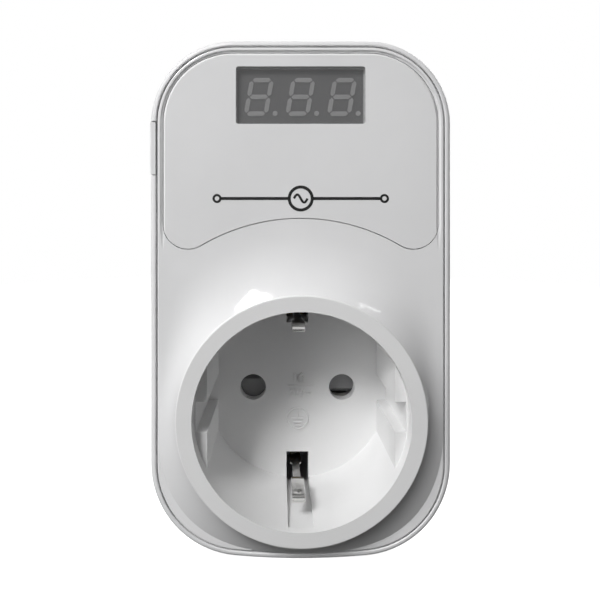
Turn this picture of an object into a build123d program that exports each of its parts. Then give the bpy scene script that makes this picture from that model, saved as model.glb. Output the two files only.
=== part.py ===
from build123d import *
import math
import os

# Plug-in voltage monitor: an earthed plug at the back, an earthed socket and a three-digit
# display at the front. Millimetres. +Z is up and the front faces -Y. The origin is the middle
# of the plug's face, between its two pins, and the socket lies on the same axis as the plug.

# Plug and socket system
PIN_OFFSET = 9.5
PIN_R = 2.4
PIN_LENGTH = 19.0
PIN_COLLAR_R = 2.7
PIN_TIP_ROUND = 1.2
PLUG_R = 18.4
PLUG_DEPTH = 17.5
PLUG_FLAT_X = 16.5
PLUG_RIB_HALF = 2.4
RECESS_R = 19.3
RECESS_DEPTH = 17.5
RECESS_FLAT_X = 16.9
RECESS_FLAT_DROP = 2.3
RECESS_NOTCH_HALF = 2.75
SOCKET_HOLE_R = 2.75
EARTH_Z = 16.6
EARTH_SLOT_HALF = 2.35
EARTH_SLOT_INNER = 13.8
EARTH_SLOT_OUTER = 21.0
EARTH_SLOT_DROP = 1.3
CLIP_WIDTH = 2.4
CLIP_THICK = 0.4
CLIP_NECK = 1.5
CLIP_X = -0.35

# Case
CASE_HALF = 27.6
CASE_TOP = 68.45
CASE_LOW = -24.0
CASE_BOW = 2.85
TOP_CORNER_R = 15.2
LOW_CORNER_R = 17.0
WALL = 2.2
BACK_WALL = 2.0
BAND_WIDTH = 1.1
SEAM = 0.25
REAR_ROUND = 3.0

# Depths, all measured forwards from the plug's face
BACK_Y = -PLUG_DEPTH
INNER_BACK_Y = BACK_Y - BACK_WALL
FLOOR_REAR_Y = -37.5
FLOOR_Y = FLOOR_REAR_Y - 2.0
RIM_Y = FLOOR_Y - RECESS_DEPTH
RIM_THICK = 0.5
RIM_R = 22.2
FLARE_TOP_Y = RIM_Y + RIM_THICK
FACE_Y = RIM_Y + 3.6
COVER_THICK = 2.0
COVER_REAR_Y = FACE_Y + COVER_THICK
BAND_Y = FACE_Y + 0.15
CUP_R = 21.4
FLARE_TOP_REACH = 35.2
FLARE_SIDE_REACH = 26.2
FLARE_LOW_REACH = 25.4

# Label panel and display
PANEL_INSET = 2.3
PANEL_ARC_R = 35.7
PANEL_LOBE_R = 4.7
PANEL_THICK = 1.0
PANEL_GAP = 0.15
GROOVE_R = 0.5
GROOVE_DEPTH = 0.27
GROOVE_END_Z = 35.0
GROOVE_FADE = 5.0
WINDOW_Z = 58.3
WINDOW_W = 23.6
WINDOW_H = 10.4
APERTURE_W = 23.4
APERTURE_H = 10.2
MODULE_FACE_Y = -52.15
MODULE_DEPTH = 6.75
DIGIT_PITCH = 7.7
DIGIT_H = 7.0
DIGIT_W = 4.46
DIGIT_SLANT = math.tan(math.radians(10))
SEGMENT = 0.8

# Boards
DISPLAY_BOARD_Y = MODULE_FACE_Y + MODULE_DEPTH
DISPLAY_BOARD_THICK = 1.2
MAIN_BOARD_Y = -25.2
MAIN_BOARD_THICK = 1.6
MAIN_BOARD_REAR_Y = MAIN_BOARD_Y + MAIN_BOARD_THICK
BOARD_HALF = 24.0
BOARD_LOW = 25.5
BOARD_TOP = 56.0
BOARD_SCREWS = [(20.5, 29.0), (-20.5, 52.5)]
DISPLAY_SCREWS = [(-10.0, 47.5), (10.0, 47.5)]

# Side button
BUTTON_Z = 48.65
BUTTON_HALF = 4.8
BUTTON_CAP_THICK = 1.0
BUTTON_REAR_Y = -46.9

# Case screws: centres in x and z, the same spots on cover and housing
CASE_SCREWS = [(-19.6, 60.0), (19.6, 60.0), (-17.9, -16.9), (17.9, -16.9)]
POST_END_Y = -34.2
SCREW_SEAT_Y = -30.5


def block(x0, x1, y0, y1, z0, z1):
    size = Box(x1 - x0, y1 - y0, z1 - z0)
    return Pos((x0 + x1) / 2, (y0 + y1) / 2, (z0 + z1) / 2) * size


def rod_y(x, z, radius, y0, y1):
    return Pos(x, (y0 + y1) / 2, z) * Rot(90, 0, 0) * Cylinder(radius, y1 - y0)


def rod_x(y, z, radius, x0, x1):
    return Pos((x0 + x1) / 2, y, z) * Rot(0, 90, 0) * Cylinder(radius, x1 - x0)


def prism_y(sketch, y0, y1):
    """A sketch drawn in x and z, made solid between two depths."""
    return extrude(Plane.XZ.offset(-y1) * sketch, y1 - y0, dir=(0, -1, 0))


def group(pieces):
    return Compound(children=[s for p in pieces for s in p.solids()])


def outline(inset):
    """The case's front outline, drawn in x and z, moved in by a distance."""
    half = CASE_HALF - inset
    top = CASE_TOP - inset
    low = CASE_LOW + inset
    edges = [
        Line((-half, low), (-half, top)),
        Line((-half, top), (half, top)),
        Line((half, top), (half, low)),
        ThreePointArc((half, low), (0, low - CASE_BOW), (-half, low)),
    ]
    face = make_face(edges)
    upper = face.vertices().filter_by_position(Axis.Y, top - 1, top + 1)
    face = fillet(upper, TOP_CORNER_R - inset)
    lower = face.vertices().filter_by_position(Axis.Y, low - 0.1, low + 0.1)
    lower = [v for v in lower if abs(abs(v.X) - half) < 0.01]
    return fillet(lower, LOW_CORNER_R - inset)


def recess_section(half_flat):
    """The recess across its depth: a round with a flat on each side, notched in the middle."""
    flats = Circle(RECESS_R) & Rectangle(2 * half_flat, 3 * RECESS_R)
    notch = Rectangle(2 * (RECESS_R - 0.35), 2 * RECESS_NOTCH_HALF)
    return flats + notch


def plug_section():
    """The plug's round boss with side flats and the two guide ribs."""
    body = Circle(PLUG_R) & Rectangle(2 * PLUG_FLAT_X, 3 * PLUG_R)
    ribs = Circle(PLUG_R) & Rectangle(3 * PLUG_R, 2 * PLUG_RIB_HALF)
    return body + ribs


def panel_outline(inset):
    """The label panel: the top of the case's outline, cut by an arc about the socket's axis."""
    shape = outline(PANEL_INSET + inset) - Circle(PANEL_ARC_R + inset)
    lobes = shape.vertices().filter_by_position(Axis.Y, 15, 30)
    return fillet(lobes, PANEL_LOBE_R - inset)


def panel_groove():
    """A shallow round-bottomed groove along the panel's top and side edges."""
    edge = outline(PANEL_INSET + PANEL_GAP / 2)
    half = CASE_HALF - PANEL_INSET - PANEL_GAP / 2
    upper = edge.wire().edges().filter_by(lambda e: e.center().Y > GROOVE_END_Z)
    curved = [e for e in upper if e.geom_type != GeomType.LINE or abs(e.center().X) < 1]
    low = min(e.bounding_box().min.Y for e in curved)
    sides = [Line((x, low), (x, GROOVE_END_Z)) for x in (-half, half)]
    centre = Plane.XZ.offset(GROOVE_R - GROOVE_DEPTH - FACE_Y)
    path = centre * Wire([*curved, *(side.edge() for side in sides)])
    start = Plane(origin=path @ 0, z_dir=path % 0)
    groove = sweep(start * Circle(GROOVE_R), path=path)
    for x in (-half, half):
        joint = centre.from_local_coords(Vector(x, GROOVE_END_Z))
        rising = Edge.make_line(joint, joint - Vector(0, GROOVE_DEPTH, GROOVE_FADE))
        fading = sweep(Plane(origin=joint, z_dir=rising % 0) * Circle(GROOVE_R), path=rising)
        groove = groove + Pos(*joint) * Sphere(GROOVE_R) + fading
    return groove


def flare_reach(angle):
    """How far from the socket's axis the cover starts to rise, in one direction."""
    across, up = abs(math.cos(angle)) / FLARE_SIDE_REACH, math.sin(angle)
    if up > 0:
        return (across ** 8 + (up ** 0.05 / FLARE_TOP_REACH) ** 8) ** (-1 / 8)
    return (across ** 2.6 + (-up / FLARE_LOW_REACH) ** 2.6) ** (-1 / 2.6)


def flare():
    """The cover's hollow-curved rise from its flat face to the round collar under the rim.

    It leaves the face gently towards the label panel, and at a slope along the other edges.
    """
    height = FACE_Y - FLARE_TOP_Y
    steps = 72
    sections = []
    for climb in (0.0, 0.2, 0.4, 0.6, 0.8, 1.0):
        points = []
        for i in range(steps):
            angle = 2 * math.pi * i / steps
            blend = min(max((0.55 - math.sin(angle)) / 0.9, 0), 1)
            straight = 0.75 * blend * blend * (3 - 2 * blend)
            rise = straight * climb + (1 - straight) * climb ** 2.7
            edge = flare_reach(angle)
            r = edge + (RIM_R - edge) * climb
            points.append((r * math.cos(angle), FACE_Y - height * rise, r * math.sin(angle)))
        sections.append(Wire([Spline(*points, periodic=True)]))
    rise = Solid.make_loft(sections)
    return rise & prism_y(outline(BAND_WIDTH + SEAM + 0.3), FLARE_TOP_Y - 1, FACE_Y + 1)


# ---- Case -------------------------------------------------------------------------------


def front_cover():
    plate = prism_y(outline(BAND_WIDTH + SEAM), FACE_Y, COVER_REAR_Y)
    front = plate.faces().sort_by(Axis.Y)[0]
    plate = fillet(front.edges(), 0.35)
    pocket = prism_y(panel_outline(0), FACE_Y - 1, FACE_Y + PANEL_THICK)
    plate = plate - pocket - panel_groove() + flare()
    # the room behind the collar keeps the wall even
    groove = rod_y(0, 0, 24.6, COVER_REAR_Y - 1.6, COVER_REAR_Y + 1)
    groove = groove - rod_y(0, 0, 22.4, COVER_REAR_Y - 2, COVER_REAR_Y + 2)
    plate -= groove
    plate -= rod_y(0, 0, CUP_R + 0.15, RIM_Y - 1, COVER_REAR_Y + 1)
    aperture = Pos(0, WINDOW_Z) * Rectangle(APERTURE_W, APERTURE_H)
    plate -= prism_y(aperture, FACE_Y - 1, COVER_REAR_Y + 1)
    for x, z in CASE_SCREWS:
        plate += rod_y(x, z, 3.0, COVER_REAR_Y - 0.2, POST_END_Y)
    for x, z in CASE_SCREWS:
        plate -= rod_y(x, z, 1.25, POST_END_Y - 12, POST_END_Y + 1)
    for x, z in DISPLAY_SCREWS:
        plate += rod_y(x, z, 2.0, COVER_REAR_Y - 0.2, DISPLAY_BOARD_Y)
        plate -= rod_y(x, z, 0.82, DISPLAY_BOARD_Y - 6, DISPLAY_BOARD_Y + 1)
    return plate


def vents():
    slots = []
    for side in (-1, 1):
        for z, length in ((23.8, 3.4), (14.0, 6.0)):
            for row in range(5):
                y = -51.1 + 4.0 * row
                reach = 1.0 if row == 0 else WALL + 1
                x0 = side * (CASE_HALF - reach)
                x1 = side * (CASE_HALF + 1)
                slots.append(
                    block(min(x0, x1), max(x0, x1), y - 0.9, y + 0.9,
                          z - length / 2, z + length / 2)
                )
    return slots


def rear_housing():
    shell = prism_y(outline(0), BAND_Y, BACK_Y)
    shell = fillet(shell.faces().sort_by(Axis.Y)[-1].edges(), REAR_ROUND)
    shell = fillet(shell.faces().sort_by(Axis.Y)[0].edges(), 0.85)
    shell -= prism_y(outline(WALL), BAND_Y - 5, INNER_BACK_Y)
    shell -= prism_y(outline(BAND_WIDTH), BAND_Y - 5, COVER_REAR_Y)
    shell = chamfer(shell.faces().sort_by(Axis.Y)[0].inner_wires()[0].edges(), 0.12)
    boss = prism_y(plug_section(), BACK_Y - 0.5, 0)
    boss = chamfer(boss.faces().sort_by(Axis.Y)[-1].edges(), 0.8)
    shell += boss
    hollow = Circle(16.2) & Rectangle(30, 27)
    shell -= prism_y(hollow, INNER_BACK_Y - 1, -3.0)
    for side in (-1, 1):
        # the earth strip lies in a groove down the boss and goes in through the back wall
        z0, z1 = sorted((side * (EARTH_Z - 1.05), side * 19))
        shell -= block(-3.3, 3.3, BACK_Y, 1, z0, z1)
        z0, z1 = sorted((side * (EARTH_Z - 1.05), side * (EARTH_Z + 0.05)))
        shell -= block(-3.05, 3.05, INNER_BACK_Y - 1, BACK_Y + 1, z0, z1)
        shell -= rod_y(side * PIN_OFFSET, 0, PIN_COLLAR_R, -4, 1)
    for x, z in CASE_SCREWS:
        shell += rod_y(x, z, 3.6, POST_END_Y + 0.3, INNER_BACK_Y + 0.2)
    for x, z in CASE_SCREWS:
        shell -= rod_y(x, z, 2.9, SCREW_SEAT_Y, BACK_Y + 1)
        shell -= rod_y(x, z, 1.6, POST_END_Y - 1, SCREW_SEAT_Y + 1)
    for x, z in BOARD_SCREWS:
        shell += rod_y(x, z, 2.6, MAIN_BOARD_REAR_Y, INNER_BACK_Y + 0.2)
        shell -= rod_y(x, z, 1.02, MAIN_BOARD_REAR_Y - 1, INNER_BACK_Y)
    for slot in vents():
        shell -= slot
    # the button's notch is open to the front edge
    low, high = BUTTON_Z - BUTTON_HALF - 0.2, BUTTON_Z + BUTTON_HALF + 0.2
    shell -= block(-CASE_HALF - 1, -CASE_HALF + WALL + 1, BAND_Y - 1, BUTTON_REAR_Y + 0.2,
                   low, high)
    return shell


def case_screws():
    screws = []
    for x, z in CASE_SCREWS:
        head = rod_y(x, z, 2.6, SCREW_SEAT_Y, SCREW_SEAT_Y + 1.8)
        slot = block(x - 2, x + 2, SCREW_SEAT_Y + 1.0, SCREW_SEAT_Y + 2, z - 0.4, z + 0.4)
        cross = block(x - 0.4, x + 0.4, SCREW_SEAT_Y + 1.0, SCREW_SEAT_Y + 2, z - 2, z + 2)
        shank = rod_y(x, z, 1.23, SCREW_SEAT_Y - 13.0, SCREW_SEAT_Y)
        screws.append(head - slot - cross + shank)
    return group(screws)


def small_screw(x, z, shank_r, seat_y, length, facing=1):
    """A pan-head screw whose head faces +Y or -Y and whose shank runs the other way."""
    head = rod_y(x, z, 2.0, *sorted((seat_y, seat_y + 1.3 * facing)))
    slot_y = sorted((seat_y + 0.7 * facing, seat_y + 2 * facing))
    slot = block(x - 1.4, x + 1.4, *slot_y, z - 0.3, z + 0.3)
    return head - slot + rod_y(x, z, shank_r, *sorted((seat_y, seat_y - length * facing)))


def label_panel():
    panel = prism_y(panel_outline(PANEL_GAP), FACE_Y, FACE_Y + PANEL_THICK)
    panel -= panel_groove()
    cut = Pos(0, WINDOW_Z) * RectangleRounded(WINDOW_W + 0.1, WINDOW_H + 0.1, 0.45)
    return panel - prism_y(cut, FACE_Y - 1, FACE_Y + 2)


def display_window():
    pane = Pos(0, WINDOW_Z) * RectangleRounded(WINDOW_W, WINDOW_H, 0.4)
    return prism_y(pane, FACE_Y, FACE_Y + PANEL_THICK)


# ---- Socket -----------------------------------------------------------------------------


def earth_slot(side):
    """The clip's slot through the floor, which runs out along the wall towards the rim."""
    front, rear = RIM_Y + EARTH_SLOT_DROP, FLOOR_REAR_Y + 1
    corners = [
        (front, EARTH_SLOT_INNER),
        (front, RECESS_R + 0.3),
        (FLOOR_Y, EARTH_SLOT_OUTER),
        (rear, EARTH_SLOT_OUTER),
        (rear, EARTH_SLOT_INNER),
    ]
    profile = Plane.YZ * make_face(Polyline(*[(y, side * z) for y, z in corners], close=True))
    return extrude(profile, EARTH_SLOT_HALF, both=True)


def socket_insert():
    cup = rod_y(0, 0, CUP_R, FLARE_TOP_Y, FLOOR_REAR_Y)
    rim = rod_y(0, 0, RIM_R, RIM_Y, FLARE_TOP_Y)
    cup += fillet(rim.faces().sort_by(Axis.Y)[0].edges(), 0.3)
    for side in (-1, 1):
        z0, z1 = sorted((side * 19.0, side * 22.6))
        cup += block(-3.6, 3.6, COVER_REAR_Y + 0.2, FLOOR_REAR_Y, z0, z1)
    top = RIM_Y + RECESS_FLAT_DROP
    cup -= prism_y(Circle(RECESS_R), RIM_Y - 1, top)
    cup -= prism_y(recess_section(RECESS_FLAT_X), top - 0.5, FLOOR_Y)
    for side in (-1, 1):
        cup -= earth_slot(side)
        cup -= rod_y(side * PIN_OFFSET, 0, SOCKET_HOLE_R, FLOOR_Y - 1, FLOOR_REAR_Y + 1)
        cup += rod_y(0, side * 12.0, 2.6, FLOOR_REAR_Y - 0.2, -35.4)
        cup -= rod_y(0, side * 12.0, 0.92, FLOOR_REAR_Y - 1.0, -35.0)
    # the shutter turns on a short stub behind the floor
    return cup + rod_y(0, 0, 1.5, FLOOR_REAR_Y - 0.2, -35.6)


SHUTTER_FRONT_Y = -37.3
SHUTTER_REAR_Y = -35.9
SHUTTER_EDGE = 1.95


def shutter_rotor():
    wings = []
    for turn in (0, 180):
        sector = Circle(13.2) & (Pos(7.5, 1.3) * Rectangle(13, 2 * (SHUTTER_EDGE + 1.3)))
        wing = prism_y(sector, SHUTTER_FRONT_Y, SHUTTER_REAR_Y)
        ramp = wing.edges().filter_by(Axis.X).sort_by(Axis.Z)[:2].sort_by(Axis.Y)[0]
        wings.append(Rot(0, turn, 0) * chamfer(ramp, 0.9))
    hub = rod_y(0, 0, 6.4, SHUTTER_FRONT_Y, SHUTTER_REAR_Y)
    catch = rod_y(3.6, -3.4, 0.6, SHUTTER_REAR_Y - 0.2, -34.9)
    rotor = hub + wings[0] + wings[1] + catch
    return rotor - rod_y(0, 0, 1.55, SHUTTER_FRONT_Y - 1, SHUTTER_REAR_Y + 1)


def shutter_spring():
    coil_r, wire_r, turns, pitch = 2.6, 0.2, 2.5, 0.55
    path = Helix(pitch, pitch * turns, coil_r)
    start = Plane(origin=path @ 0, z_dir=path % 0)
    coil = sweep(start * Circle(wire_r), path=path)
    return Pos(0, -35.2, 0) * Rot(-90, 0, 0) * coil


def contact_carrier():
    plate = Circle(17.0) & Rectangle(40, 28.6)
    body = prism_y(plate, -35.3, -32.8)
    for side in (-1, 1):
        x = side * PIN_OFFSET
        body += block(x - 4.8, x + 4.8, -33.0, -24.4, -4.8, 5.4)
    for side in (-1, 1):
        x = side * PIN_OFFSET
        body -= block(x - 3.45, x + 3.45, -34.9, -23, -3.4, 4.0)
        body -= rod_y(x, 0, 3.0, -36, -34)
        body -= rod_y(0, side * 12.0, 1.2, -36, -32)
    # the spring's room, with the sweep of the rotor's catch beside it
    return body - rod_y(0, 0, 5.7, -36, -33.4)


def carrier_screws():
    return group([small_screw(0, z, 0.9, -32.8, 5.5) for z in (-12.0, 12.0)])


def sleeve(side):
    """A folded brass channel that grips a pin, open towards -Z."""
    x = side * PIN_OFFSET
    outer = block(x - 3.3, x + 3.3, -34.8, -24.8, -3.2, 3.8)
    inner = block(x - 2.5, x + 2.5, -36, -24, -4, 3.0)
    lead = Plane.XY.offset(-3.2) * Polygon(
        (x - 3.3, -35), (x + 3.3, -35), (x + 2.5, -33.9), (x - 2.5, -33.9), align=None
    )
    return outer - inner - extrude(lead, 6.2)


def line_contact():
    return sleeve(1) + block(PIN_OFFSET - 2, PIN_OFFSET + 2, -25, -20.8, 3.0, 3.8)


def neutral_contact():
    x = -PIN_OFFSET
    tail = block(x - 2, x + 2, -25, -4.6, 3.0, 3.8)
    lug = block(x - 3, x + 3, -5.4, -4.6, -2.6, 3.8)
    return sleeve(-1) + tail + lug - rod_y(x, 0, 1.6, -7, -4)


def pin(side):
    """A solid pin whose collar is pressed into the plug's wall, with a flange behind it."""
    x = side * PIN_OFFSET
    shank = rod_y(x, 0, PIN_R, -1, PIN_LENGTH)
    shank = fillet(shank.faces().sort_by(Axis.Y)[-1].edges(), PIN_TIP_ROUND)
    collar = rod_y(x, 0, PIN_COLLAR_R, -3.5, 0)
    flange = rod_y(x, 0, 3.4, -4.6, -3.0)
    stub = rod_y(x, 0, 1.6, -6.6, -4.0)
    return shank + collar + flange + stub


# ---- Earth path -------------------------------------------------------------------------


def earth_strip(side):
    z0, z1 = sorted((side * (EARTH_Z - 1.0), side * EARTH_Z))
    strip = block(-3.0, 3.0, -32.0, -1.2, z0, z1)
    # inside, the strip narrows to pass its clip
    for edge in (-1, 1):
        x0, x1 = sorted((edge * 1.8, edge * 4))
        strip -= block(x0, x1, -36, -27, z0 - 1, z1 + 1)
    return strip


def earth_link():
    web = block(-3.0, 3.0, -22.6, -21.8, -EARTH_Z + 1.0, EARTH_Z - 1.0)
    tabs = [block(-3.0, 3.0, -25.4, -21.8, s - 0.4, s + 0.4) for s in
            (-EARTH_Z + 1.4, EARTH_Z - 1.4)]
    return web + tabs[0] + tabs[1]


def earth_clip(side):
    """A sprung strip that rises through the slot, folds over at the front and returns."""
    path = [
        (-27.6, EARTH_Z + 0.27),
        (-36.0, EARTH_Z + 0.27),
        (-41.0, EARTH_Z + 0.1),
        (-53.3, EARTH_Z - 0.3),
        (-53.1, EARTH_Z - 1.4),
        (-49.5, EARTH_Z - 1.6),
        (-46.2, EARTH_Z - 1.2),
    ]
    line = Plane.YZ * FilletPolyline(*[(y, side * z) for y, z in path], radius=0.42)
    start = Plane(origin=line @ 0, z_dir=line % 0, x_dir=(1, 0, 0))
    leaf = sweep(start * Rectangle(CLIP_WIDTH, CLIP_THICK), path=line)
    end = line @ 1
    corner = [e for e in leaf.edges() if e.length < 0.5 and (e.center() - end).length < 1.4]
    leaf = fillet(corner, 0.4)
    # the outer leg is narrower than the fold
    z0, z1 = sorted((side * (EARTH_Z - 0.7), side * (EARTH_Z + 1)))
    for edge in (-1, 1):
        x0, x1 = sorted((edge * CLIP_NECK / 2, edge * CLIP_WIDTH))
        leaf -= block(x0, x1, -51.0, -38.5, z0, z1)
    return Pos(CLIP_X, 0, 0) * leaf


# ---- Display ----------------------------------------------------------------------------


def display_module():
    half_w, half_h = APERTURE_W / 2 - 0.1, APERTURE_H / 2 - 0.1
    return block(-half_w, half_w, MODULE_FACE_Y, DISPLAY_BOARD_Y,
                 WINDOW_Z - half_h, WINDOW_Z + half_h)


def bar(x0, z0, x1, z1, centre):
    """One slanted segment between two joints of a digit, with pointed ends."""
    along = Vector(x1 - x0, z1 - z0).normalized()
    across = Vector(-along.Y, along.X) * (SEGMENT / 2)
    gap = 0.15
    a = Vector(x0, z0) + along * gap
    b = Vector(x1, z1) - along * gap
    inner = along * (SEGMENT / 2)
    points = [a, a + inner + across, b - inner + across, b, b - inner - across,
              a + inner - across]
    slanted = [(centre + p.X + p.Y * DIGIT_SLANT, p.Y + WINDOW_Z) for p in points]
    return prism_y(Polygon(*slanted, align=None), MODULE_FACE_Y - 0.2, MODULE_FACE_Y)


def display_segments():
    half_w = (DIGIT_W - SEGMENT) / 2
    half_h = (DIGIT_H - SEGMENT) / 2
    pieces = []
    for place in (-1, 0, 1):
        centre = place * DIGIT_PITCH
        for z in (-half_h, 0, half_h):
            pieces.append(bar(-half_w, z, half_w, z, centre))
        for x in (-half_w, half_w):
            pieces.append(bar(x, -half_h, x, 0, centre))
            pieces.append(bar(x, 0, x, half_h, centre))
        pieces.append(rod_y(centre + 3.0, WINDOW_Z - 3.05, 0.45, MODULE_FACE_Y - 0.2,
                            MODULE_FACE_Y))
    return group(pieces)


def display_board():
    front, rear = DISPLAY_BOARD_Y, DISPLAY_BOARD_Y + DISPLAY_BOARD_THICK
    board = block(-13, 13, front, rear, 44.0, 65.5) + block(-22, 13, front, rear, 44.0, 53.4)
    for x, z in DISPLAY_SCREWS:
        board -= rod_y(x, z, 1.1, front - 1, rear + 1)
    return board


def display_screws():
    seat_y = DISPLAY_BOARD_Y + DISPLAY_BOARD_THICK
    return group([small_screw(x, z, 0.8, seat_y, 6.0) for x, z in DISPLAY_SCREWS])


def display_header():
    pins = []
    front = DISPLAY_BOARD_Y + DISPLAY_BOARD_THICK
    for i in range(6):
        x = -6.35 + 2.54 * i
        pins.append(block(x - 0.32, x + 0.32, front, MAIN_BOARD_Y, 53.7, 54.3))
        pins.append(block(x - 1.2, x + 1.2, MAIN_BOARD_Y - 2.5, MAIN_BOARD_Y, 52.8, 55.2)
                    - block(x - 0.32, x + 0.32, -50, -20, 53.7, 54.3))
    return group(pins)


def controller_chip():
    rear = DISPLAY_BOARD_Y + DISPLAY_BOARD_THICK
    body = block(-2.6, 2.6, rear + 0.1, rear + 1.7, 57.0, 62.0)
    for i in range(4):
        z = 57.6 + 1.27 * i
        body += block(-3.6, 3.6, rear, rear + 0.25, z - 0.2, z + 0.2)
    return body


# ---- Button and switch ------------------------------------------------------------------

STEM_END_X = -22.6
SWITCH_X = -21.9


def side_button():
    face_x = -CASE_HALF - 0.05
    cap = block(face_x, face_x + BUTTON_CAP_THICK, BAND_Y + 0.1, BUTTON_REAR_Y,
                BUTTON_Z - BUTTON_HALF, BUTTON_Z + BUTTON_HALF)
    cap = fillet(cap.faces().sort_by(Axis.X)[0].edges(), 0.3)
    stem = block(-27.5, STEM_END_X, -50.6, -47.4, BUTTON_Z - 2.1, BUTTON_Z + 2.1)
    flange = block(-25.3, -24.5, -50.9, -46.0, BUTTON_Z - 5.6, BUTTON_Z + 5.6)
    return cap + stem + flange


def tact_switch_body():
    body = block(SWITCH_X, -18.0, -50.4, DISPLAY_BOARD_Y, BUTTON_Z - 3.1, BUTTON_Z + 3.1)
    return body - block(SWITCH_X - 1, -19.6, -49.9, -48.0, BUTTON_Z - 1.6, BUTTON_Z + 1.6)


def tact_switch_plunger():
    return block(STEM_END_X + 0.05, -20.4, -49.8, -48.1, BUTTON_Z - 1.5, BUTTON_Z + 1.5)


# ---- Main board -------------------------------------------------------------------------


def main_board():
    board = block(-BOARD_HALF, BOARD_HALF, MAIN_BOARD_Y, MAIN_BOARD_REAR_Y,
                  BOARD_LOW, BOARD_TOP)
    for x, z in BOARD_SCREWS:
        board -= rod_y(x, z, 1.3, -30, -20)
    return board


def board_screws():
    return group([small_screw(x, z, 1.0, MAIN_BOARD_Y, 5.2, -1) for x, z in BOARD_SCREWS])


RELAY_X0, RELAY_X1 = 0.5, 19.5
RELAY_Z0, RELAY_Z1 = 34.5, 49.7
RELAY_TOP_Y = MAIN_BOARD_Y - 15.4
RELAY_Z = (RELAY_Z0 + RELAY_Z1) / 2
COIL_X = 10.0
ARMATURE_Y = -38.3
ARMATURE_PIVOT_X = 15.6


def relay_base():
    base = block(RELAY_X0 + 0.9, RELAY_X1 - 0.9, MAIN_BOARD_Y - 1.5, MAIN_BOARD_Y,
                 RELAY_Z0 + 0.9, RELAY_Z1 - 0.9)
    return base


def relay_cover():
    case = block(RELAY_X0, RELAY_X1, RELAY_TOP_Y, MAIN_BOARD_Y, RELAY_Z0, RELAY_Z1)
    case = fillet(case.faces().sort_by(Axis.Y)[0].edges(), 0.6)
    return case - block(RELAY_X0 + 0.8, RELAY_X1 - 0.8, RELAY_TOP_Y + 0.8, MAIN_BOARD_Y + 1,
                        RELAY_Z0 + 0.8, RELAY_Z1 - 0.8)


def relay_coil():
    front, rear = -37.3, MAIN_BOARD_Y - 2.3
    bobbin = rod_y(COIL_X, RELAY_Z, 4.0, front + 0.8, rear - 0.8)
    for y in (front, rear - 0.8):
        bobbin += rod_y(COIL_X, RELAY_Z, 4.6, y, y + 0.8)
    return bobbin - rod_y(COIL_X, RELAY_Z, 1.8, -40, -20)


def relay_yoke():
    foot = block(COIL_X - 3, ARMATURE_PIVOT_X + 0.4, MAIN_BOARD_Y - 2.3, MAIN_BOARD_Y - 1.5,
                 RELAY_Z - 4, RELAY_Z + 4)
    leg = block(ARMATURE_PIVOT_X - 0.6, ARMATURE_PIVOT_X + 0.4, ARMATURE_Y + 0.65,
                MAIN_BOARD_Y - 1.5, RELAY_Z - 4, RELAY_Z + 4)
    core = rod_y(COIL_X, RELAY_Z, 1.78, -37.6, MAIN_BOARD_Y - 2.2)
    return foot + leg + core


def relay_armature():
    """The plate over the core, hinged on the yoke's top, with the moving contact's blade."""
    plate = block(COIL_X - 3, ARMATURE_PIVOT_X + 0.4, ARMATURE_Y - 0.5, ARMATURE_Y + 0.3,
                  RELAY_Z - 3.5, RELAY_Z + 3.5)
    blade = block(2.4, COIL_X, ARMATURE_Y - 0.7, ARMATURE_Y - 0.45, RELAY_Z - 1.8,
                  RELAY_Z + 1.8)
    return plate + blade + rod_y(3.6, RELAY_Z, 1.3, ARMATURE_Y - 0.5, ARMATURE_Y + 0.2)


def relay_fixed_contact():
    post = block(2.2, 5.0, -36.9, MAIN_BOARD_Y - 1.5, RELAY_Z - 1.6, RELAY_Z + 1.6)
    post -= block(2.8, 5.2, -36.3, MAIN_BOARD_Y - 1.4, RELAY_Z - 2, RELAY_Z + 2)
    return post + rod_y(3.6, RELAY_Z, 1.1, -37.35, -36.8)


def film_capacitor():
    box = block(-21.0, -3.0, MAIN_BOARD_Y - 13.0, MAIN_BOARD_Y, 33.2, 41.2)
    return fillet(box.edges().filter_by(Axis.Y), 0.8)


def electrolytic_capacitor():
    can = rod_y(-5.5, 47.6, 4.0, MAIN_BOARD_Y - 12.0, MAIN_BOARD_Y)
    return fillet(can.faces().sort_by(Axis.Y)[0].edges(), 0.6)


def varistor():
    disc = rod_x(MAIN_BOARD_Y - 6.6, 46.8, 5.0, -15.4, -11.6)
    legs = [block(-14.2, -13.6, MAIN_BOARD_Y - 3, MAIN_BOARD_Y, z - 0.3, z + 0.3)
            for z in (44.3, 49.3)]
    return fillet(disc.edges().filter_by(GeomType.CIRCLE), 1.2) + legs[0] + legs[1]


def fuse():
    body = rod_x(MAIN_BOARD_Y - 2.6, 30.0, 2.3, -12.5, -3.5)
    legs = [block(x - 0.35, x + 0.35, MAIN_BOARD_Y - 2.6, MAIN_BOARD_Y, 29.65, 30.35)
            for x in (-12.85, -3.15)]
    return body + legs[0] + legs[1]


def rectifier():
    body = block(3.0, 9.4, MAIN_BOARD_Y - 2.7, MAIN_BOARD_Y - 0.2, 28.2, 33.0)
    for x in (4.2, 8.2):
        body += block(x - 0.5, x + 0.5, MAIN_BOARD_Y - 0.4, MAIN_BOARD_Y, 27.2, 34.0)
    return body


def board_resistors():
    pieces = []
    for x, z in ((14.2, 32.0), (14.2, 28.0), (14.0, 53.4), (-18.8, 29.5)):
        body = rod_x(MAIN_BOARD_Y - 1.3, z, 1.1, x - 2.9, x + 2.9)
        for end in (-3.2, 3.2):
            body += block(x + end - 0.35, x + end + 0.35, MAIN_BOARD_Y - 1.6, MAIN_BOARD_Y,
                          z - 0.3, z + 0.3)
        pieces.append(body)
    return group(pieces)


def wire(points, radius):
    line = FilletPolyline(*points, radius=1.3)
    start = Plane(origin=line @ 0, z_dir=line % 0)
    return sweep(start * Circle(radius), path=line)


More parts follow.
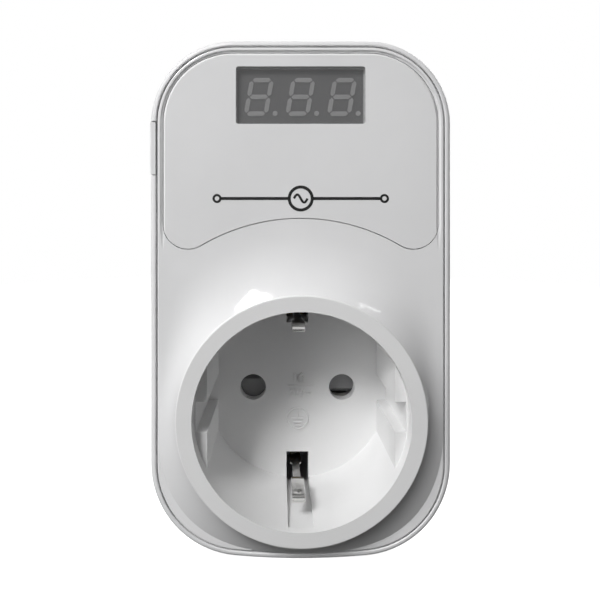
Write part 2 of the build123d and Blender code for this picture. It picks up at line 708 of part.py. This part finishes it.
def line_in_wire():
    return wire(
        [(PIN_OFFSET, -6.7, 0), (PIN_OFFSET, -12, 0), (7.0, -12, 8.5), (7.0, -21.4, 8.5),
         (7.0, -21.4, 28), (7.0, MAIN_BOARD_REAR_Y, 28)],
        0.9,
    )


def line_out_wire():
    return wire(
        [(14.5, MAIN_BOARD_REAR_Y, 31), (14.5, -21.4, 31), (14.5, -21.4, 4.75),
         (PIN_OFFSET - 1, -21.4, 4.75)],
        0.9,
    )


def neutral_wire():
    return wire(
        [(-13.5, MAIN_BOARD_REAR_Y, 29), (-13.5, -21.4, 29), (-13.5, -21.4, 4.6),
         (1 - PIN_OFFSET, -21.4, 4.6)],
        0.7,
    )


NODES = {
    "rear_housing": rear_housing,
    "front_cover": front_cover,
    "socket_insert": socket_insert,
    "label_panel": label_panel,
    "display_window": display_window,
    "display_module": display_module,
    "display_segments": display_segments,
    "display_board": display_board,
    "display_screws": display_screws,
    "display_header": display_header,
    "controller_chip": controller_chip,
    "case_screws": case_screws,
    "shutter_rotor": shutter_rotor,
    "shutter_spring": shutter_spring,
    "contact_carrier": contact_carrier,
    "carrier_screws": carrier_screws,
    "line_contact": line_contact,
    "neutral_contact": neutral_contact,
    "line_pin": lambda: pin(1),
    "neutral_pin": lambda: pin(-1),
    "earth_strip_upper": lambda: earth_strip(1),
    "earth_strip_lower": lambda: earth_strip(-1),
    "earth_link": earth_link,
    "earth_clip_upper": lambda: earth_clip(1),
    "earth_clip_lower": lambda: earth_clip(-1),
    "side_button": side_button,
    "tact_switch_body": tact_switch_body,
    "tact_switch_plunger": tact_switch_plunger,
    "main_board": main_board,
    "board_screws": board_screws,
    "relay_base": relay_base,
    "relay_cover": relay_cover,
    "relay_coil": relay_coil,
    "relay_yoke": relay_yoke,
    "relay_armature": relay_armature,
    "relay_fixed_contact": relay_fixed_contact,
    "film_capacitor": film_capacitor,
    "electrolytic_capacitor": electrolytic_capacitor,
    "varistor": varistor,
    "fuse": fuse,
    "rectifier": rectifier,
    "board_resistors": board_resistors,
    "line_in_wire": line_in_wire,
    "line_out_wire": line_out_wire,
    "neutral_wire": neutral_wire,
}

os.makedirs("parts", exist_ok=True)
for name, make in NODES.items():
    export_step(make(), f"parts/{name}.step")
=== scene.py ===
import math

import bpy
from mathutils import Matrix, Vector


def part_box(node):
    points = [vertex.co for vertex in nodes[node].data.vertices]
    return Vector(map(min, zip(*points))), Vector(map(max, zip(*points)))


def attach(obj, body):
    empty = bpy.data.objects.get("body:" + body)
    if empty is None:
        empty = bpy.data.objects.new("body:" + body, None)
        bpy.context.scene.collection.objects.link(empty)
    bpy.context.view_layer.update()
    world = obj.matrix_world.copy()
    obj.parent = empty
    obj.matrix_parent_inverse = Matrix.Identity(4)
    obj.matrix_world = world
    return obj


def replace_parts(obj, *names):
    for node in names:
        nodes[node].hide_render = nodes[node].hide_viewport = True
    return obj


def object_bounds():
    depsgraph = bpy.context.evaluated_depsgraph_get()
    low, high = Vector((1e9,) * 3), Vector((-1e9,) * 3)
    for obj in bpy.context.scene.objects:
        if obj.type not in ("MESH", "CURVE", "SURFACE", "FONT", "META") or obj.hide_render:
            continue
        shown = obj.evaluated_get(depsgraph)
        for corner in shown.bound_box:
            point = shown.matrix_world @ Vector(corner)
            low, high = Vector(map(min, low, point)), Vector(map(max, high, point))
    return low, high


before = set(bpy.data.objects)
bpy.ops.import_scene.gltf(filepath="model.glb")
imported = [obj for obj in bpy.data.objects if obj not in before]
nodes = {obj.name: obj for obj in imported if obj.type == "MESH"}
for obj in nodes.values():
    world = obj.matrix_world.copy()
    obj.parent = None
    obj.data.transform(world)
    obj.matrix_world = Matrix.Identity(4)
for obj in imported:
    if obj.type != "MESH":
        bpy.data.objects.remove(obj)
cad_low, cad_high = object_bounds()

MM = 0.001

# Places on the object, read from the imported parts
RECESS_DEPTH = 17.5 * MM
RIM_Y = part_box("socket_insert")[0].y
FLOOR_Y = RIM_Y + RECESS_DEPTH
PANEL_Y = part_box("label_panel")[0].y
GROUND_Z = cad_low.z


# ---- Materials --------------------------------------------------------------------------


def shader(name):
    """A new material: its node tree, its principled shader and its object coordinates."""
    mat = bpy.data.materials.new(name)
    mat.use_nodes = True
    tree = mat.node_tree
    return mat, tree, tree.nodes["Principled BSDF"], tree.nodes.new("ShaderNodeTexCoord")


def noise(tree, coords, scale, detail=2.0, roughness=0.5, stretch=(1, 1, 1)):
    """Noise with a scale in waves per metre, drawn out along an axis by a stretch over 1."""
    mapping = tree.nodes.new("ShaderNodeMapping")
    mapping.inputs["Scale"].default_value = tuple(1 / s for s in stretch)
    tree.links.new(coords.outputs["Object"], mapping.inputs["Vector"])
    node = tree.nodes.new("ShaderNodeTexNoise")
    node.inputs["Scale"].default_value = scale
    node.inputs["Detail"].default_value = detail
    node.inputs["Roughness"].default_value = roughness
    tree.links.new(mapping.outputs["Vector"], node.inputs["Vector"])
    return node.outputs["Fac"]


def ramp(tree, value, low, high, start=0.35, end=0.65):
    """A colour that runs from low to high as the value goes from start to end."""
    node = tree.nodes.new("ShaderNodeValToRGB")
    node.color_ramp.elements[0].position = start
    node.color_ramp.elements[1].position = end
    node.color_ramp.elements[0].color = (*low, 1)
    node.color_ramp.elements[1].color = (*high, 1)
    tree.links.new(value, node.inputs["Fac"])
    return node.outputs["Color"]


def remap(tree, value, low, high, start=0.3, end=0.7):
    """The value between start and end, moved to between low and high."""
    node = tree.nodes.new("ShaderNodeMapRange")
    node.inputs["From Min"].default_value = start
    node.inputs["From Max"].default_value = end
    node.inputs["To Min"].default_value = low
    node.inputs["To Max"].default_value = high
    tree.links.new(value, node.inputs["Value"])
    return node.outputs["Result"]


def relief(tree, bsdf, layers):
    """Stacks bump layers of (height, depth in metres) on the shader's normal."""
    last = None
    for height, depth in layers:
        bump = tree.nodes.new("ShaderNodeBump")
        bump.inputs["Distance"].default_value = depth
        tree.links.new(height, bump.inputs["Height"])
        if last is not None:
            tree.links.new(last, bump.inputs["Normal"])
        last = bump.outputs["Normal"]
    tree.links.new(last, bsdf.inputs["Normal"])


def shade(colour, factor):
    return tuple(min(1.0, c * factor) for c in colour)


def plastic(name, colour, rough, grain=0.0, grain_scale=2500, wave=1e-5, coat=0.0, flow=0.025):
    """Moulded plastic: faint flow marks in its tone, a slow sink wave and a fine grain."""
    mat, tree, bsdf, coords = shader(name)
    marks = noise(tree, coords, 60, 3.0)
    tone = ramp(tree, marks, shade(colour, 1 - flow), shade(colour, 1 + flow / 2))
    tree.links.new(tone, bsdf.inputs["Base Color"])
    fine = noise(tree, coords, grain_scale, 3.0, 0.6)
    tree.links.new(remap(tree, fine, rough * 0.85, rough * 1.15), bsdf.inputs["Roughness"])
    layers = [(noise(tree, coords, 90, 1.0), wave)]
    if grain:
        layers.append((fine, grain))
    relief(tree, bsdf, layers)
    bsdf.inputs["IOR"].default_value = 1.5
    bsdf.inputs["Coat Weight"].default_value = coat
    bsdf.inputs["Coat Roughness"].default_value = 0.05
    return mat


def metal(name, colour, rough, stretch=(1, 14, 1), depth=1e-6, scale=1200, stain=0.16):
    """Drawn or stamped metal with fine lines along one axis and a little tarnish."""
    mat, tree, bsdf, coords = shader(name)
    lines = noise(tree, coords, scale, 4.0, 0.6, stretch)
    patch = noise(tree, coords, 170, 4.0, 0.6)
    tone = ramp(tree, patch, shade(colour, 1 - stain), shade(colour, 1.05))
    tree.links.new(tone, bsdf.inputs["Base Color"])
    tree.links.new(remap(tree, lines, rough * 0.7, rough * 1.4), bsdf.inputs["Roughness"])
    relief(tree, bsdf, [(lines, depth)])
    bsdf.inputs["Metallic"].default_value = 1.0
    return mat


def smoked_lens():
    """The tinted window: half see-through, faintly mottled and evenly glossy."""
    mat, tree, bsdf, coords = shader("smoked_lens")
    marks = noise(tree, coords, 220, 2.0)
    tone = ramp(tree, marks, (0.318, 0.318, 0.321), (0.335, 0.335, 0.338))
    tree.links.new(tone, bsdf.inputs["Base Color"])
    fine = noise(tree, coords, 2600, 2.0)
    tree.links.new(remap(tree, fine, 0.16, 0.22), bsdf.inputs["Roughness"])
    relief(tree, bsdf, [(noise(tree, coords, 110, 1.0), 6e-6)])
    bsdf.inputs["Alpha"].default_value = 0.25
    bsdf.inputs["IOR"].default_value = 1.49
    return mat


def circuit_board():
    """Green solder mask with a raised pattern of copper fields under it."""
    mat, tree, bsdf, coords = shader("board_green")
    tracks = tree.nodes.new("ShaderNodeTexVoronoi")
    tracks.distance = "CHEBYCHEV"
    tracks.feature = "DISTANCE_TO_EDGE"
    tracks.inputs["Scale"].default_value = 260
    tree.links.new(coords.outputs["Object"], tracks.inputs["Vector"])
    gap, mask = (0.012, 0.085, 0.03), (0.02, 0.15, 0.05)
    tone = ramp(tree, tracks.outputs["Distance"], gap, mask, 0.05, 0.12)
    tree.links.new(tone, bsdf.inputs["Base Color"])
    step = remap(tree, tracks.outputs["Distance"], 0.0, 1.0, 0.05, 0.12)
    relief(tree, bsdf, [(step, 2e-5)])
    fine = noise(tree, coords, 1800, 2.0)
    tree.links.new(remap(tree, fine, 0.22, 0.34), bsdf.inputs["Roughness"])
    return mat


def winding():
    """Enamelled copper wire laid turn by turn, so the relief is fine parallel ribs."""
    mat, tree, bsdf, coords = shader("copper_winding")
    turns = tree.nodes.new("ShaderNodeTexWave")
    turns.bands_direction = "Z"
    turns.inputs["Scale"].default_value = 1900
    turns.inputs["Distortion"].default_value = 0.4
    tree.links.new(coords.outputs["Object"], turns.inputs["Vector"])
    tone = ramp(tree, turns.outputs["Fac"], (0.32, 0.10, 0.035), (0.62, 0.24, 0.09), 0.2, 0.8)
    tree.links.new(tone, bsdf.inputs["Base Color"])
    relief(tree, bsdf, [(turns.outputs["Fac"], 4e-5)])
    bsdf.inputs["Metallic"].default_value = 0.8
    bsdf.inputs["Roughness"].default_value = 0.32
    return mat


MATERIALS = {
    "white_case": plastic("white_case", (0.77, 0.77, 0.775), 0.45, 3e-6),
    "white_gloss": plastic("white_gloss", (0.79, 0.79, 0.795), 0.09, wave=1.4e-5, coat=0.4),
    "white_matte": plastic("white_matte", (0.77, 0.77, 0.77), 0.45, 3e-6, 3000),
    "panel_matte": plastic("panel_matte", (0.76, 0.76, 0.765), 0.34, 3e-6, 3500),
    "smoked_lens": smoked_lens(),
    "module_grey": plastic("module_grey", (0.045, 0.045, 0.047), 0.5, 3e-6),
    "segment_diffuser": plastic("segment_diffuser", (0.42, 0.42, 0.42), 0.35, 3e-6, 4000),
    "board_green": circuit_board(),
    "tinned": metal("tinned", (0.70, 0.70, 0.69), 0.3, (1, 1, 1), 3e-6, 900),
    "steel": metal("steel", (0.56, 0.57, 0.60), 0.3, (1, 1, 1), 2e-6, 1500),
    "chip_black": plastic("chip_black", (0.022, 0.022, 0.024), 0.42, 4e-6, 3000, flow=0.1),
    "shutter_grey": plastic("shutter_grey", (0.24, 0.24, 0.245), 0.4, 3e-6, flow=0.06),
    "spring_steel": metal("spring_steel", (0.85, 0.845, 0.83), 0.16, stain=0.1),
    "carrier_plastic": plastic("carrier_plastic", (0.60, 0.59, 0.56), 0.42, 4e-6),
    "brass": metal("brass", (0.72, 0.50, 0.20), 0.28),
    "nickel": metal("nickel", (0.68, 0.665, 0.63), 0.2, depth=8e-7),
    "relay_blue": plastic("relay_blue", (0.03, 0.13, 0.42), 0.28, 2e-6, flow=0.06),
    "copper_winding": winding(),
    "capacitor_red": plastic("capacitor_red", (0.42, 0.09, 0.02), 0.2, 0, flow=0.08),
    "capacitor_sleeve": plastic("capacitor_sleeve", (0.02, 0.03, 0.07), 0.18, 0, flow=0.1),
    "varistor_blue": plastic("varistor_blue", (0.03, 0.14, 0.38), 0.3, 1e-5, 900, flow=0.1),
    "fuse_glass": plastic("fuse_glass", (0.66, 0.63, 0.52), 0.16, 0, flow=0.06),
    "resistor_beige": plastic("resistor_beige", (0.58, 0.44, 0.26), 0.3, 4e-6, flow=0.08),
    "wire_brown": plastic("wire_brown", (0.13, 0.05, 0.02), 0.38, 3e-6, flow=0.1),
    "wire_blue": plastic("wire_blue", (0.03, 0.10, 0.34), 0.38, 3e-6, flow=0.1),
}

for obj in nodes.values():
    for held in obj.material_slots:
        held.material = MATERIALS[held.material.name.split(".")[0]]


# ---- Mesh helpers -----------------------------------------------------------------------


def new_piece(name, verts, faces, material, body, slot, sharp_deg=35):
    """A mesh object with smooth faces and sharp folds, riding on a body."""
    mesh = bpy.data.meshes.new(name)
    mesh.from_pydata(verts, [], faces)
    mesh.validate()
    mesh.polygons.foreach_set("use_smooth", [True] * len(mesh.polygons))
    mesh.set_sharp_from_angle(angle=math.radians(sharp_deg))
    mesh.materials.append(material)
    obj = bpy.data.objects.new(name, mesh)
    bpy.context.scene.collection.objects.link(obj)
    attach(obj, body)
    return obj


def rounded(points, radius, steps=6):
    """A polyline with each inner corner turned into an arc."""
    corners = [Vector(p) for p in points]
    line = [corners[0]]
    for before, at, after in zip(corners, corners[1:], corners[2:]):
        back, ahead = (before - at).normalized(), (after - at).normalized()
        half = back.angle(ahead) / 2
        centre = at + (back + ahead).normalized() * (radius / math.sin(half))
        first = at + back * (radius / math.tan(half)) - centre
        last = at + ahead * (radius / math.tan(half)) - centre
        for i in range(steps + 1):
            line.append(centre + first.lerp(last, i / steps).normalized() * radius)
    line.append(corners[-1])
    return line


def even(line, spacing):
    """The same line, walked at an even spacing."""
    out = [line[0]]
    left = spacing
    for a, b in zip(line, line[1:]):
        length = (b - a).length
        at = 0.0
        while length - at >= left:
            at += left
            out.append(a.lerp(b, at / length))
            left = spacing
        left -= length - at
    return out


# ---- Earth clips ------------------------------------------------------------------------

CLIP_WIDTH = 2.4 * MM
CLIP_THICK = 0.4 * MM
CLIP_BEND_R = 0.42 * MM
CLIP_CROWN = 0.05 * MM
OUTER_LEG = 26 * MM
CLIP_NECK = 1.5 * MM
NECK_FRONT = -51.0 * MM
NECK_REAR = -38.5 * MM
NECK_RUN = 0.6 * MM
CLIP_TIP_ROUND = 0.4 * MM
CLIP_TIP_HALF = 0.08 * MM
CLIP_EDGE_ROUND = 0.07 * MM
CLIP_X = -0.35 * MM
CLIP_ROWS = 0.12 * MM
CLIP_COLUMNS = 14
DIMPLE_FORWARD = 5.9 * MM
DIMPLE_R = 0.6 * MM
DIMPLE_DEPTH = 0.28 * MM
DIMPLE_FALL = 1.6
EARTH_Z = 16.6


def earth_clip(name, side, body):
    """A sprung strip, necked behind its folded front, slightly crowned, with a pressed dimple."""
    path = [
        (-27.6, EARTH_Z + 0.27),
        (-36.0, EARTH_Z + 0.27),
        (-41.0, EARTH_Z + 0.1),
        (-53.3, EARTH_Z - 0.3),
        (-53.15, EARTH_Z - 1.45),
        (-51.4, EARTH_Z - 1.6),
        (-49.6, EARTH_Z - 1.6),
        (-47.7, EARTH_Z - 1.4),
        (-46.2, EARTH_Z - 1.0),
    ]
    corners = [(0, y * MM, side * z * MM) for y, z in path]
    line = even(rounded(corners, CLIP_BEND_R), CLIP_ROWS)
    length = CLIP_ROWS * (len(line) - 1)
    verts = []
    for i, point in enumerate(line):
        ahead = line[min(i + 1, len(line) - 1)] - line[max(i - 1, 0)]
        ahead.normalize()
        inward = Vector((0, ahead.z, -ahead.y)) * side
        to_tip = length - i * CLIP_ROWS
        half = CLIP_WIDTH / 2
        if i * CLIP_ROWS < OUTER_LEG:
            inside = min(point.y - NECK_FRONT, NECK_REAR - point.y) / NECK_RUN
            half -= (CLIP_WIDTH - CLIP_NECK) / 2 * min(max(inside, 0), 1)
        if to_tip < CLIP_TIP_ROUND:
            short = CLIP_TIP_ROUND - to_tip
            half -= CLIP_TIP_ROUND - math.sqrt(max(CLIP_TIP_ROUND**2 - short**2, 0))
        half = max(half, CLIP_TIP_HALF)
        for face in (0, 1):
            for c in range(CLIP_COLUMNS + 1):
                x = (2 * c / CLIP_COLUMNS - 1) * half
                crown = -CLIP_CROWN * (2 * x / CLIP_WIDTH) ** 2
                near = math.hypot(x, to_tip - DIMPLE_FORWARD) / DIMPLE_R
                dent = DIMPLE_DEPTH * math.exp(-near * near * DIMPLE_FALL)
                lift = CLIP_THICK * (0.5 - face) + crown - dent
                place = point + inward * lift
                verts.append((CLIP_X + x, place.y, place.z))
    row = 2 * (CLIP_COLUMNS + 1)
    faces = []
    for i in range(len(line) - 1):
        for c in range(CLIP_COLUMNS):
            a = i * row + c
            faces.append((a, a + 1, a + 1 + row, a + row))
            b = a + CLIP_COLUMNS + 1
            faces.append((b, b + row, b + 1 + row, b + 1))
        for c in (0, CLIP_COLUMNS):
            a = i * row + c
            b = a + CLIP_COLUMNS + 1
            side_face = (a, a + row, b + row, b)
            faces.append(side_face if c == 0 else side_face[::-1])
    for i in (0, len(line) - 1):
        for c in range(CLIP_COLUMNS):
            a = i * row + c
            b = a + CLIP_COLUMNS + 1
            end_face = (a, b, b + 1, a + 1)
            faces.append(end_face if i == 0 else end_face[::-1])
    obj = new_piece(name, verts, faces, MATERIALS["spring_steel"], body, "spring_steel", 50)
    round_edges = obj.modifiers.new("round_edges", "BEVEL")
    round_edges.width = CLIP_EDGE_ROUND
    round_edges.segments = 2
    round_edges.limit_method = "ANGLE"
    round_edges.angle_limit = math.radians(50)
    return obj


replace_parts(earth_clip("earth_leaf_upper", 1, "upper_earth_clip"), "earth_clip_upper")
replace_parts(earth_clip("earth_leaf_lower", -1, "lower_earth_clip"), "earth_clip_lower")


# ---- Marks ------------------------------------------------------------------------------

MARK_Z = 39.4 * MM
DIGIT_SPREAD = 0.06
DIGIT_BEVEL = 0.09


def stroke(points, width, y_front, y_back, closed=False, slope=0.0):
    """A line drawn in x and z as a rib between two depths, with sloping sides if asked."""
    verts, faces = [], []
    count = len(points)
    for i, (x, z) in enumerate(points):
        if closed:
            before, after = points[i - 1], points[(i + 1) % count]
        else:
            before, after = points[max(i - 1, 0)], points[min(i + 1, count - 1)]
        along = Vector((after[0] - before[0], after[1] - before[1])).normalized()
        across = Vector((-along.y, along.x))
        for y, half in ((y_front, width / 2 - slope), (y_back, width / 2)):
            for s in (1, -1):
                verts.append((x + s * across.x * half, y, z + s * across.y * half))
    for i in range(count if closed else count - 1):
        a = 4 * i
        b = 4 * ((i + 1) % count)
        faces += [
            (a, b, b + 1, a + 1), (a + 2, b + 2, b, a), (a + 1, b + 1, b + 3, a + 3),
            (a + 3, b + 3, b + 2, a + 2),
        ]
    if not closed:
        a = 4 * (count - 1)
        faces += [(0, 1, 3, 2), (a, a + 2, a + 3, a + 1)]
    return verts, faces


def circle_points(x, z, r, count=64):
    turn = 2 * math.pi / count
    return [(x + r * math.cos(i * turn), z + r * math.sin(i * turn)) for i in range(count)]


def sine_points(x, z, length, height, count=32):
    return [
        (x + length * (i / count - 0.5), z + height * math.sin(2 * math.pi * i / count))
        for i in range(count + 1)
    ]


def lettering(text, size, x, z, y_front, depth):
    """Plain digits raised from a face, made a thousand times larger so that they fill cleanly."""
    curve = bpy.data.curves.new("digits", "FONT")
    curve.body = text
    curve.size = size / MM
    curve.extrude = depth / MM / 2
    curve.offset = DIGIT_SPREAD
    curve.bevel_depth = DIGIT_BEVEL
    curve.align_x = "CENTER"
    curve.align_y = "CENTER"
    holder = bpy.data.objects.new("digits", curve)
    bpy.context.scene.collection.objects.link(holder)
    bpy.context.view_layer.update()
    mesh = bpy.data.meshes.new_from_object(
        holder.evaluated_get(bpy.context.evaluated_depsgraph_get())
    )
    middle = y_front + depth / 2 + DIGIT_BEVEL * MM
    verts = [(x + v.co.x * MM, middle - v.co.z * MM, z + v.co.y * MM) for v in mesh.vertices]
    faces = [tuple(p.vertices) for p in mesh.polygons]
    bpy.data.objects.remove(holder)
    return verts, faces


def joined(parts):
    verts, faces = [], []
    for more_verts, more_faces in parts:
        base = len(verts)
        verts += more_verts
        faces += [tuple(base + i for i in face) for face in more_faces]
    return verts, faces


def printed_mark():
    """A made-up panel mark: an alternating-current sign on a line."""
    front, back = PANEL_Y - 0.02 * MM, PANEL_Y + 0.1 * MM
    wide, fine = 0.55 * MM, 0.42 * MM
    parts = [
        stroke(circle_points(0, MARK_Z, 2.1 * MM), wide, front, back, closed=True),
        stroke(sine_points(0, MARK_Z, 2.5 * MM, 0.72 * MM), fine, front, back),
    ]
    for side in (-1, 1):
        ends = [(side * 2.3 * MM, MARK_Z), (side * 14.6 * MM, MARK_Z)]
        parts.append(stroke(sorted(ends), wide, front, back))
        dot = circle_points(side * 15.3 * MM, MARK_Z, 0.62 * MM, 32)
        parts.append(stroke(dot, fine, front, back, closed=True))
    return joined(parts)


def ink():
    """Black pad-printed ink with a speckled sheen."""
    mat, tree, bsdf, coords = shader("mark_ink")
    speckle = noise(tree, coords, 4200, 3.0)
    tone = ramp(tree, speckle, (0.008, 0.008, 0.008), (0.02, 0.02, 0.02))
    tree.links.new(tone, bsdf.inputs["Base Color"])
    tree.links.new(remap(tree, speckle, 0.34, 0.5), bsdf.inputs["Roughness"])
    relief(tree, bsdf, [(speckle, 3e-6)])
    return mat


new_piece("panel_mark", *printed_mark(), ink(), "case", "panel_matte")


def rating_marks():
    """Raised figures on the recess floor: amps over volts, and the earth sign in a circle."""
    rise, sink, slope = 0.26 * MM, 0.1 * MM, 0.1 * MM
    front, back = FLOOR_Y - rise, FLOOR_Y + sink
    wide = 0.38 * MM
    ring_x, ring_z, ring_r = 0.05 * MM, -6.7 * MM, 2.2 * MM

    def rib(points, closed=False):
        return stroke(points, wide, front, back, closed, slope)

    def level(x0, x1, z):
        return rib([(x0 * MM, z * MM), (x1 * MM, z * MM)])

    return joined([
        lettering("16", 2.5 * MM, 0.1 * MM, 1.95 * MM, front, rise + sink),
        level(-2.0, 3.4, 0.3),
        lettering("250~", 2.1 * MM, 0.6 * MM, -1.35 * MM, front, rise + sink),
        rib(circle_points(ring_x, ring_z, ring_r), closed=True),
        rib([(ring_x, ring_z + 1.6 * MM), (ring_x, ring_z + 0.1 * MM)]),
        level(-1.35, 1.45, -6.7),
        level(-0.95, 1.05, -7.5),
        level(-0.55, 0.65, -8.2),
    ])


new_piece("rating_marks", *rating_marks(), MATERIALS["white_matte"], "case", "white_matte", 20)


# ---- Softened edges on small parts ------------------------------------------------------

SOFT_EDGES = {
    "side_button": 0.25, "display_module": 0.15, "display_segments": 0.05, "film_capacitor": 0.5,
    "relay_cover": 0.35, "relay_base": 0.1, "rectifier": 0.15, "controller_chip": 0.08,
    "tact_switch_body": 0.12, "earth_strip_upper": 0.12, "earth_strip_lower": 0.12,
    "line_contact": 0.08, "neutral_contact": 0.08, "main_board": 0.05, "display_board": 0.05,
    "label_panel": 0.06, "display_window": 0.06, "shutter_rotor": 0.08, "relay_yoke": 0.1,
    "relay_armature": 0.08, "contact_carrier": 0.12, "display_header": 0.05,
}

for name, width in SOFT_EDGES.items():
    soften = nodes[name].modifiers.new("soft_edges", "BEVEL")
    soften.width = width * MM
    soften.segments = 2
    soften.limit_method = "ANGLE"
    soften.angle_limit = math.radians(40)
    soften.harden_normals = True


# ---- Stage ------------------------------------------------------------------------------

FLOOR_RING = 0.15
FLOOR_RINGS = 4
FLOOR_SIDES = 48


def studio_floor():
    """A pale floor whose edge fades out far from the object."""
    mat, tree, bsdf, coords = shader("floor")
    cloud = noise(tree, coords, 6, 3.0)
    tone = ramp(tree, cloud, (0.86, 0.86, 0.86), (0.90, 0.90, 0.90))
    tree.links.new(tone, bsdf.inputs["Base Color"])
    bsdf.inputs["Roughness"].default_value = 0.9
    bsdf.inputs["Emission Color"].default_value = (1, 1, 1, 1)
    bsdf.inputs["Emission Strength"].default_value = 0.9
    distance = tree.nodes.new("ShaderNodeVectorMath")
    distance.operation = "LENGTH"
    tree.links.new(coords.outputs["Object"], distance.inputs[0])
    clear = tree.nodes.new("ShaderNodeBsdfTransparent")
    mix = tree.nodes.new("ShaderNodeMixShader")
    tree.links.new(remap(tree, distance.outputs["Value"], 0, 1, 0.14, 0.5), mix.inputs["Fac"])
    tree.links.new(bsdf.outputs["BSDF"], mix.inputs[1])
    tree.links.new(clear.outputs["BSDF"], mix.inputs[2])
    tree.links.new(mix.outputs["Shader"], tree.nodes["Material Output"].inputs["Surface"])
    verts, faces = [(0, 0, 0)], []
    for ring in range(1, FLOOR_RINGS + 1):
        for a in range(FLOOR_SIDES):
            turn, reach = a * math.pi / (FLOOR_SIDES / 2), ring * FLOOR_RING
            verts.append((reach * math.cos(turn), reach * math.sin(turn), 0))
    for ring in range(FLOOR_RINGS):
        for a in range(FLOOR_SIDES):
            after = (a + 1) % FLOOR_SIDES
            low, high = 1 + (ring - 1) * FLOOR_SIDES, 1 + ring * FLOOR_SIDES
            if ring == 0:
                faces.append((0, high + a, high + after))
            else:
                faces.append((low + a, high + a, high + after, low + after))
    mesh = bpy.data.meshes.new("floor")
    mesh.from_pydata(verts, [], faces)
    mesh.materials.append(mat)
    obj = bpy.data.objects.new("floor", mesh)
    obj.location = (0, -0.03, GROUND_Z - 0.0002)
    bpy.context.scene.collection.objects.link(obj)
    # bounced light from the floor would fill the shade under the socket's collar
    obj.visible_diffuse = False
    obj.visible_glossy = False


studio_floor()


LIGHT_TARGET = Vector((0, RIM_Y, 12 * MM))


def softbox(
    name, direction, distance, size_x, size_y, power, spin=0.0, glossy=True, diffuse=True
):
    """A rectangular light on the socket, which can be kept out of reflections or of the shading."""
    light = bpy.data.lights.new(name, "AREA")
    light.shape = "RECTANGLE"
    light.size = size_x
    light.size_y = size_y
    light.energy = power
    holder = bpy.data.objects.new(name, light)
    holder.location = LIGHT_TARGET + Vector(direction).normalized() * distance
    facing = (LIGHT_TARGET - holder.location).to_track_quat("-Z", "Y").to_euler()
    facing.rotate_axis("Z", math.radians(spin))
    holder.rotation_euler = facing
    holder.visible_glossy = glossy
    holder.visible_diffuse = diffuse
    bpy.context.scene.collection.objects.link(holder)


softbox("key", (-0.42, -0.575, 0.702), 0.9, 0.26, 0.22, 6.45)
softbox("left_fill", (-0.85, -0.5, 0.15), 0.9, 0.5, 0.6, 3.1, glossy=False)
softbox("front_card", (0.0, -0.94, -0.34), 0.9, 0.5, 0.55, 0.5, diffuse=False)
softbox("back_fill", (0.5, 0.8, 0.35), 0.9, 0.6, 0.6, 5.5)
softbox("right_fill", (0.8, -0.6, 0.0), 0.9, 0.3, 0.5, 0.2, glossy=False)
softbox("rim_glint", (0.654, -0.537, 0.538), 0.7, 0.03, 0.16, 0.06, 30)


def studio_world():
    """Surroundings that grow brighter with height, with plain white behind the object."""
    world = bpy.data.worlds.new("studio")
    bpy.context.scene.world = world
    world.use_nodes = True
    tree = world.node_tree
    background = tree.nodes["Background"]
    coords = tree.nodes.new("ShaderNodeTexCoord")
    split = tree.nodes.new("ShaderNodeSeparateXYZ")
    tree.links.new(coords.outputs["Generated"], split.inputs["Vector"])
    height = remap(tree, split.outputs["Z"], 0, 1, -1, 1)
    tone = ramp(tree, height, (0.0,) * 3, (0.28,) * 3, 0.1, 1)
    tree.links.new(tone, background.inputs["Color"])
    plain = tree.nodes.new("ShaderNodeBackground")
    plain.inputs["Color"].default_value = (1, 1, 1, 1)
    path = tree.nodes.new("ShaderNodeLightPath")
    choose = tree.nodes.new("ShaderNodeMixShader")
    tree.links.new(path.outputs["Is Camera Ray"], choose.inputs["Fac"])
    tree.links.new(background.outputs["Background"], choose.inputs[1])
    tree.links.new(plain.outputs["Background"], choose.inputs[2])
    tree.links.new(choose.outputs["Shader"], tree.nodes["World Output"].inputs["Surface"])


studio_world()

lens = bpy.data.cameras.new("camera")
lens.sensor_width = 36
lens.lens = 26.46
lens.shift_x = 0.0362
lens.shift_y = -0.1172
lens.clip_start = 0.005
camera = bpy.data.objects.new("camera", lens)
camera.location = (-4.1 * MM, -134 * MM, 33.7 * MM)
camera.rotation_euler = (math.radians(90), 0, 0)
bpy.context.scene.collection.objects.link(camera)
bpy.context.scene.camera = camera
bpy.context.scene.view_settings.view_transform = "Standard"
